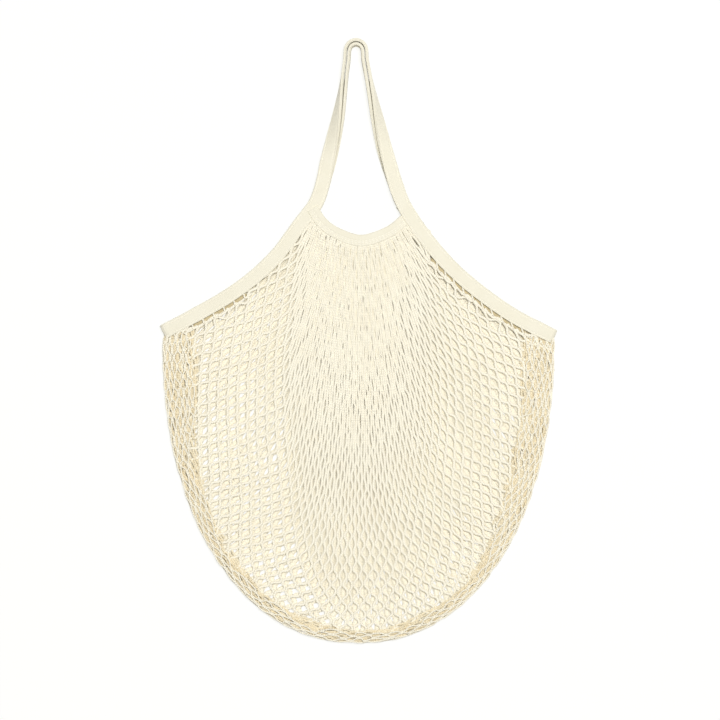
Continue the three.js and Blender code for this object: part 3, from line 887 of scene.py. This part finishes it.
@dataclass
class PouchSheet:
    """One layer of the pouch.

    A net that is drawn out is the sum of two families of strand lengths: the join (i, j) lies at
    A[i] + B[j]. A leads down to the right and B down to the left, each with its own fan of
    directions, and the two are fitted to the mouth, where the joins with i + j = half the strands
    less one are gathered.
    """

    lines: BagLines
    layer: Layer
    strands: int = 96  # an estimate for a bag of this size, not a count
    size: int = 88
    margin: int = 10  # lines that lie past the mouth's two ends, under the shoulders
    bar: float = 10.2
    # Directions of the lengths in degrees from straight down, outwards, by their number.
    fan_right: tuple = (
        (-10, -30), (0, -12), (4, -1), (12, 2), (18, 4), (24, 8), (31, 14), (36, 24), (41, 36), (45, 46), (48, 55),
        (50, 63), (56, 72), (62, 80), (78, 84),
    )
    fan_left: tuple = (
        (-10, -36), (0, -26), (3, -15), (7, -8), (14, -3), (24, 5), (31, 14), (36, 23), (41, 31), (46, 35),
        (47.4, 38), (48.3, 60), (50, 66), (54, 72), (60, 76), (78, 82),
    )
    turned: float = 0.0  # degrees that the open part to the left is turned in this layer
    shift: tuple = (0.0, 0.0)  # how far this layer has slipped
    spread_below: float = -130.0  # from here down the meshes are drawn wider and lower, by these shares
    bottom_spread: float = 0.24
    bottom_squash: float = 0.1
    wavelengths: tuple = (170.0, 100.0, 60.0)  # of the slow waves that handling leaves
    wave_height: float = 1.0 / 330.0  # in shares of the wavelength
    drift: float = 1.0
    shake: float = 0.35  # each join's own shift, the standard deviation
    seed: int = 5
    parted_over: float = 34.0  # over this distance from the fold the two layers part
    least_spread: float = 0.9  # height from the fold's level at the fold, and how much more where parted
    parted_spread: float = 0.9
    tape_blend: tuple = (6.0, 22.0)  # between these distances the sheet climbs to the tape's level
    crowded_areas: tuple = (15.0, 62.0)  # square millimetres of a mesh: packed up to one, open from the other
    pile: float = 1.1  # how far crowded strands rise over each other
    catch: float = 4.5  # joins this near a selvedge or tape are caught in it
    outermost: float = 0.988  # in shares of the outline; past this the edge's own net takes over
    half_wide: float = 0.88  # half a strand's width where they crowd
    open_half_wide: float = 1.45  # and where they lie open and flat

    def lay_out(self) -> np.ndarray:
        """Places the joins, seen from above, by least squares with each length brought back to its measure."""
        middles = np.arange(self.size - 1) - self.margin + 0.5
        right = np.interp(middles, *np.array(self.fan_right).T)
        left = np.interp(middles, *np.array(self.fan_left).T) + self.turned * smoothstep(46.0, 50.0, middles)
        turn = np.radians(np.concatenate([right, -left]))
        fan = self.bar * np.stack([np.sin(turn), -np.cos(turn)], axis=1)
        half = self.strands // 2
        rim = offset_curve(curve_through(np.array(self.lines.mouth), 40), -4.0)
        rim = rim[np.abs(rim[:, 0] - 2.0) < 44.0]
        first = np.arange(half)
        gathered = points_along(rim, (2 * first + 1) / self.strands * lengths_along(rim)[-1])
        unknown = 2 * self.size
        joins = np.zeros((half, unknown))
        joins[first, first + self.margin] = 1.0
        joins[first, self.size + self.margin + half - 1 - first] = 1.0
        bars = np.delete(np.diff(np.eye(unknown), axis=0), self.size - 1, axis=0)
        solve = np.linalg.pinv(np.concatenate([joins, 4.0 * bars, bars, np.eye(1, unknown)]))
        measured = fan
        for _ in range(30):
            fitted = solve @ np.concatenate([gathered, 4.0 * fan, measured, np.zeros((1, 2))])
            measured = self.bar * unit(bars @ fitted)
        return fitted[: self.size, None] + fitted[None, self.size :]

    def settled(self, joins: np.ndarray) -> np.ndarray:
        """Joins with the meshes at the bottom of the pouch drawn wider and lower, as they lie there."""
        low = smoothstep(self.spread_below, -self.lines.depth, joins[..., 1])
        wider = joins[..., 0] * (1.0 + self.bottom_spread * low)
        deeper = np.minimum(joins[..., 1] - self.spread_below, 0.0) * self.bottom_squash
        return np.stack([wider, joins[..., 1] - deeper], axis=-1)

    def disturbed(self, joins: np.ndarray, rng: np.random.Generator) -> np.ndarray:
        """Joins a little off their even places, as handling leaves them: slow waves and each one's own shift."""
        waves = np.zeros_like(joins)
        for wavelength in self.wavelengths:
            for axis in (0, 1):
                heading, phase = rng.uniform(0.0, math.tau, 2)
                along = joins @ np.array([math.cos(heading), math.sin(heading)])
                waves[..., axis] += np.sin(along * math.tau / wavelength + phase) * wavelength * self.wave_height
        below_mouth = smoothstep(100.0, 0.0, joins[..., 1])[..., None]
        crowding = self.crowding(joins)[..., None]
        own = rng.normal(0.0, self.shake, joins.shape) * (1.0 - 0.7 * crowding)
        return joins + self.drift * below_mouth * waves + own

    def crowding(self, joins: np.ndarray) -> np.ndarray:
        """How closely the strands are packed at each join: 0 where they lie open, 1 where they pile up."""
        first, second = np.gradient(joins, axis=0), np.gradient(joins, axis=1)
        area = np.abs(first[..., 0] * second[..., 1] - first[..., 1] * second[..., 0])
        return 1.0 - smoothstep(*self.crowded_areas, area)

    def at_selvedge(self, joins: np.ndarray) -> np.ndarray:
        """Whether joins are in the stretches where the net hangs from its selvedge."""
        spans = [(joins[..., 0] > start) & (joins[..., 0] < end) for start, end in self.lines.selvedges]
        return np.any(spans, axis=0) & (self.layer is Layer.FRONT) & (joins[..., 1] > -20.0)

    def hung(self, joins: np.ndarray, gap: np.ndarray, under: np.ndarray) -> tuple[np.ndarray, np.ndarray]:
        """Joins moved on to the selvedge where they are next to it, and their distances from the tape's middle."""
        edge = self.lines.top_edge()
        nearest = edge[np.linalg.norm(joins[:, :, None] - edge, axis=3).argmin(axis=2)]
        moved = self.at_selvedge(joins) & under & (np.abs(gap - self.lines.selvedge) < self.catch)
        on_line = nearest + (joins - nearest) * (self.lines.selvedge / np.maximum(gap, 0.1))[..., None]
        return np.where(moved[..., None], on_line, joins), np.where(moved, self.lines.selvedge, gap)

    def build(self) -> NetSheet:
        """Lays the sheet over the bag: apart from the other layer over the pouch, near it at the fold."""
        rng = np.random.default_rng(self.seed)
        joins = self.disturbed(self.settled(self.lay_out()), rng)
        lines = self.lines
        joins = joins + np.array(self.shift) * smoothstep(128.0, 104.0, joins[..., 1])[..., None]
        from_fold = (1.0 - np.minimum(lines.nearness(joins), 1.0)) * lines.half_width
        parted = np.where(joins[..., 1] > 0.0, 1.0, smoothstep(0.0, self.parted_over, from_fold))
        spread = self.least_spread + self.parted_spread * parted
        gap, under = lines.beside_top(joins)
        at_tape = 1.0 - smoothstep(*self.tape_blend, gap)
        tape = abs(lines.level(self.layer) - lines.fold_level)
        joins, gap = self.hung(joins, gap, under)
        number = np.arange(self.size) - self.margin
        i, j = np.meshgrid(number, number, indexing="ij")
        column, row = i - j, i + j - self.strands // 2 + 1
        ripple = np.sin(2.1 * column + 0.9 * np.sin(0.23 * row) + 0.6 * np.sin(0.5 * column))
        piled = self.pile * self.crowding(joins) * ripple
        height = spread * (1 - at_tape) + tape * at_tape + piled * smoothstep(2.0, 10.0, gap)
        points = np.concatenate([joins, (lines.fold_level + self.layer.value * height)[..., None]], axis=2)
        free = self.at_selvedge(joins) & ((gap < self.lines.selvedge - 0.5) | ~under)
        keep = (row >= -4) & (under | (gap < self.catch)) & ~free & (lines.nearness(joins) < self.outermost)
        wide = self.open_half_wide + (self.half_wide - self.open_half_wide) * self.crowding(joins)
        return NetSheet(points, np.broadcast_to([0.0, 0.0, 1.0], points.shape), keep, wide)


@dataclass
class EdgeSheet:
    """The net drawn out along the folded edge, from one strap's end round the bottom to the other's.

    Its joins lie in long narrow diamonds on a flattened roll round the edge: at a distance u round
    the roll from the edge, the net is the square root of u squared and r squared, less r, inside
    the edge, and the height is the tanh of u over r.
    """

    lines: BagLines
    half_length: float = 8.6  # half a diamond's length
    half_width: float = 2.4  # half a diamond's width
    half_wide: float = 0.75  # half a strand's width
    roundness: float = 3.6
    rise: float = 4.1
    inset: float = 0.8
    past_corner: float = 12.0
    # How far the net is drawn together, measured round the roll, by the distance along the edge.
    widths: tuple = (
        (-12, 34), (60, 33), (120, 23), (180, 19), (260, 16), (450, 14), (560, 16), (620, 26), (700, 32), (800, 33),
        (940, 31),
    )
    uneven: tuple = (1.4, 0.5, 1.3)  # standard deviations of the joins along and round, and of the reach
    phase: float = 0.0
    seed: int = 9

    def build(self) -> NetSheet:
        """Lays the sheet round the edge."""
        lines = self.lines
        outline = lines.outline()
        corner = np.array([[0.0, self.past_corner]])
        outline = np.concatenate([outline[:1] + corner, outline, outline[-1:] + corner])
        length = lengths_along(outline)[-1]
        rows = int(max(width for _, width in self.widths) / self.half_width) + 3
        steps = int(length / self.half_length) + 1
        i, j = np.meshgrid(np.arange(steps // 2 + rows), np.arange(steps // 2 + rows), indexing="ij")
        rng = np.random.default_rng(self.seed)
        place = (i + j - rows + self.phase) * self.half_length + rng.normal(0.0, self.uneven[0], i.shape)
        roll = (i - j + self.phase) * self.half_width + rng.normal(0.0, self.uneven[1], i.shape)
        roll = roll + 1.1 * np.sin(place / 13.0 + 0.35 * (i - j)) + 0.8 * np.sin(place / 29.0)
        flat = points_along(outline, place.ravel()).reshape(*place.shape, 2)
        headings, distances = unit(np.gradient(outline, axis=0)), lengths_along(outline)
        heading = np.stack([np.interp(place, distances, axis) for axis in headings.T], axis=-1)
        inward = left_of(heading)
        inside = np.sqrt(roll**2 + self.roundness**2) - self.roundness + self.inset
        slope = np.tanh(roll / self.roundness)
        height = (lines.fold_level + self.rise * slope)[..., None]
        points = np.concatenate([flat + inward * inside[..., None], height], axis=2)
        flatness = np.abs(slope)[..., None] ** 2
        outward = np.concatenate([-inward, np.zeros_like(inward[..., :1])], axis=2)
        up = np.array([0.0, 0.0, 1.0]) * np.sign(roll)[..., None]
        normals = unit(up * flatness + outward * (1.05 - flatness))
        reach = np.interp(place - self.past_corner, *np.array(self.widths).T)
        reach = reach + 1.6 * np.sin(place / 17.0 + self.seed) + rng.normal(0.0, self.uneven[2], place.shape)
        gap, under = lines.beside_top(points[..., :2])
        keep = (place > 0.0) & (place < length) & (np.abs(roll) < reach) & (under | (gap < 5.0))
        wide = np.full(keep.shape, self.half_wide)
        return NetSheet(points, normals, keep, wide, half_high=0.8, join_length=4.0, slack=0.4)


@dataclass
class Selvedge:
    """The net's edge where it stands clear of the shoulder tape.

    A strand runs beside the tape and short threads tie it to the tape; in the gap between them lies a
    strip of tape coloured dark tan, painted shade for the shadow that falls there.
    """

    lines: BagLines
    overlap: float = 6.0  # how far the strand runs on under the tape at both ends
    under_tape: float = 0.6  # its middle lies this much lower than the tape's
    tie_pitch: float = 12.0
    tie_slant: float = 1.6  # how far along a tie's foot is from its top
    tie_rise: float = 0.9
    sink: float = 1.6  # how deep the turned-in edge lies below the strand
    half_round: float = 6.0

    def strand(self, line: np.ndarray, height: float, half_wide: float, half_high: float) -> tuple:
        """One closed strand along a line seen from above, at an even height."""
        middle = np.concatenate([line, np.full((len(line), 1), height)], axis=1)[None]
        up = np.broadcast_to([0.0, 0.0, 1.0], middle.shape)
        return sweep(middle, up, np.full(middle.shape[:2], half_wide), half_high)

    def build(self, yarn: bpy.types.Material, shade_tape: bpy.types.Material) -> None:
        """Makes the strand, its ties and the dark strip of painted shade under them, on both shoulders.

        Args:
            yarn: Material of the strands.
            shade_tape: Material of that strip, tape painted dark tan as shade.
        """
        height = self.lines.front_level - self.under_tape
        around = np.linspace(0.0, self.half_round, 7)
        for side, (start, end) in zip(("left", "right"), self.lines.selvedges):
            line = self.lines.selvedge_line(start - self.overlap, end + self.overlap, self.lines.selvedge)[::3]
            rings, along = self.strand(line, height, 1.1, 0.9)
            Piece(f"selvedge_{side}", rings, along, around, yarn, "net_cotton", "net").build()
            inner = self.lines.selvedge_line(start - self.overlap, end + self.overlap, self.lines.selvedge - 4.6)
            places = np.arange(self.tie_pitch / 2, lengths_along(inner)[-1], self.tie_pitch)
            tops = points_along(inner, places)
            outer = self.lines.selvedge_line(start - self.overlap, end + self.overlap, self.lines.selvedge + 0.4)
            feet = points_along(outer, places + self.tie_slant)
            share = np.linspace(0.0, 1.0, 6)[:, None]
            ties = tops[:, None] * (1 - share) + feet[:, None] * share
            middles = np.concatenate([ties, np.full((*ties.shape[:2], 1), height + self.tie_rise)], axis=2)
            up = np.broadcast_to([0.0, 0.0, 1.0], middles.shape)
            rings, along = sweep(middles, up, np.full(middles.shape[:2], 0.9), 0.7)
            Piece(f"selvedge_ties_{side}", rings, along, around, yarn, "net_cotton", "net").build()
            # A dark tan strip beneath the gap between strand and tape: painted shade.
            turned = self.lines.selvedge_line(start, end, self.lines.selvedge - 2.2)[::3]
            rings, along = self.strand(turned, height - self.sink, 2.6, 0.5)
            Piece(
                f"binding_turning_{side}", rings, along, around, shade_tape, "tape_cotton", "front_strap"
            ).build()


@dataclass
class FiletNet:
    """The whole net: the front and back of the pouch and the drawn-out net round its edge."""

    lines: BagLines
    group: int = 1600  # strand lengths in one object
    seed: int = 3

    def build(self, yarn: bpy.types.Material, drawn: bpy.types.Material) -> None:
        """Makes the strands, in groups that each stay light enough to carry whole.

        Args:
            yarn: Material of the pouch's strands.
            drawn: Material of the strands that lie drawn together round the edge: the same yarn, darker
                and warmer, as painted shade between the piled strands.
        """
        rng = np.random.default_rng(self.seed)
        sheets = [
            PouchSheet(self.lines, Layer.FRONT).build(),
            # The back's strands are drawn far wider than real ones, up to 6 mm where they lie open, so
            # that the second layer fills the front's openings with the even cream haze that it has.
            PouchSheet(
                self.lines, Layer.BACK, turned=5.0, shift=(5.0, 4.5), drift=2.6, bar=10.4, half_wide=1.3,
                open_half_wide=3.1, seed=11,
            ).build(),
            EdgeSheet(self.lines, half_width=3.0, half_length=9.4).build(),
            EdgeSheet(self.lines, rise=2.6, roundness=3.0, inset=2.4, phase=0.5, seed=10).build(),
            EdgeSheet(self.lines, rise=1.3, roundness=3.0, inset=3.2, phase=0.2, half_wide=1.2, seed=12).build(),
        ]
        number = 0
        # The last two edge sheets wear the darker yarn, painted shade where the net piles up round the edge.
        for sheet, material in zip(sheets, (yarn, yarn, yarn, drawn, drawn)):
            rings, along = sheet.tubes(rng)
            half_round = math.pi * (sheet.half_wide.mean() + sheet.half_high)
            around = np.linspace(0.0, half_round, rings.shape[2] + 1)
            for start in range(0, len(rings), self.group):
                part = slice(start, start + self.group)
                number += 1
                name = f"net_strands_{number}"
                Piece(name, rings[part], along[part], around, material, "net_cotton", "net").build()


# ---- table, light and camera ---------------------------------------------------------------------


@dataclass
class Studio:
    """A white table, a soft light above it a little to the upper right, and the camera straight above."""

    table_size: float = 6.0
    table_colour: str = "#797977"
    glow_colour: str = "#FEFEFC"
    camera_height: float = 3.0
    view_width: float = 0.720
    view_centre: tuple = (0.0015, -0.0185)
    table_glow: float = 0.79
    sky: float = 0.38
    key: float = 80.0  # watts
    key_place: tuple = (0.35, 0.45, 3.1)
    key_size: float = 0.8
    bag_middle: float = 0.010  # height that the view's width is measured at

    def table(self) -> None:
        """A plain light table under the bag: an opal sheet that gives off light and throws little back."""
        half = self.table_size / 2
        mesh = bpy.data.meshes.new("table")
        corners = [(-half, -half, 0), (half, -half, 0), (half, half, 0), (-half, half, 0)]
        mesh.from_pydata(corners, [], [(0, 1, 2, 3)])
        material, tree = new_material("backlit_opal_acrylic")
        shader = add_node(
            tree,
            "ShaderNodeBsdfPrincipled",
            {
                "Base Color": linear(self.table_colour),
                "Roughness": 0.9,
                "Emission Color": linear(self.glow_colour),
                "Emission Strength": self.table_glow,
            },
        )
        add_node(tree, "ShaderNodeOutputMaterial", links={"Surface": shader.outputs[0]})
        mesh.materials.append(material)
        table = bpy.data.objects.new("table", mesh)
        bpy.context.scene.collection.objects.link(table)

    def lamp(self, name: str, place: tuple, size: float, power: float) -> None:
        """A square soft light that faces the bag.

        Args:
            name: Its name.
            place: Where it hangs, in metres.
            size: Its side in metres.
            power: Its power in watts.
        """
        light = bpy.data.lights.new(name, "AREA")
        light.size, light.energy = size, power
        lamp = bpy.data.objects.new(name, light)
        lamp.location = place
        x, y, z = place
        lamp.rotation_euler = (math.atan2(math.hypot(x, y), z), 0.0, math.atan2(x, -y))
        bpy.context.scene.collection.objects.link(lamp)

    def build(self) -> None:
        """Makes the table, the even room light, the key light and the camera."""
        self.table()
        world = bpy.data.worlds.new("studio")
        world.use_nodes = True
        world.node_tree.nodes["Background"].inputs["Color"].default_value = (1.0, 1.0, 1.0, 1.0)
        world.node_tree.nodes["Background"].inputs["Strength"].default_value = self.sky
        bpy.context.scene.world = world
        bpy.context.scene.view_settings.view_transform = "Standard"
        self.lamp("key", self.key_place, self.key_size, self.key)
        camera = bpy.data.cameras.new("above")
        camera.sensor_width = 36.0
        camera.lens = camera.sensor_width * self.camera_height / self.view_width
        camera.clip_end = 20.0
        above = bpy.data.objects.new("above", camera)
        above.location = (*self.view_centre, self.camera_height + self.bag_middle)
        bpy.context.scene.collection.objects.link(above)
        bpy.context.scene.camera = above


def main() -> None:
    """Builds the bag in order, then its table, light and camera."""
    logging.basicConfig(level=logging.INFO, format="%(message)s")
    Studio().build()
    lines = BagLines()
    tape, thread, yarn = KnittedTape().build(), SewingThread().build(), ChainKnittedYarn().build()
    for layer in (Layer.BACK, Layer.FRONT):
        Strap(lines, layer).build(tape, thread)
        MouthRim(lines, layer).build(tape, thread)
    # The same yarn made darker and warmer: painted shade for the net piled round the edge.
    drawn = ChainKnittedYarn(name="cotton_chain_knit_painted_shade", light="#F6EBCE", deep="#EEDFBB").build()
    FiletNet(lines).build(yarn, drawn)
    # Tape painted dark tan: shade for the gap under the selvedge.
    shade_tape = KnittedTape(name="cotton_tape_painted_shade", light="#CFC19C", deep="#C2B28A").build()
    Selvedge(lines).build(yarn, shade_tape)


if __name__ == "__main__":
    main()
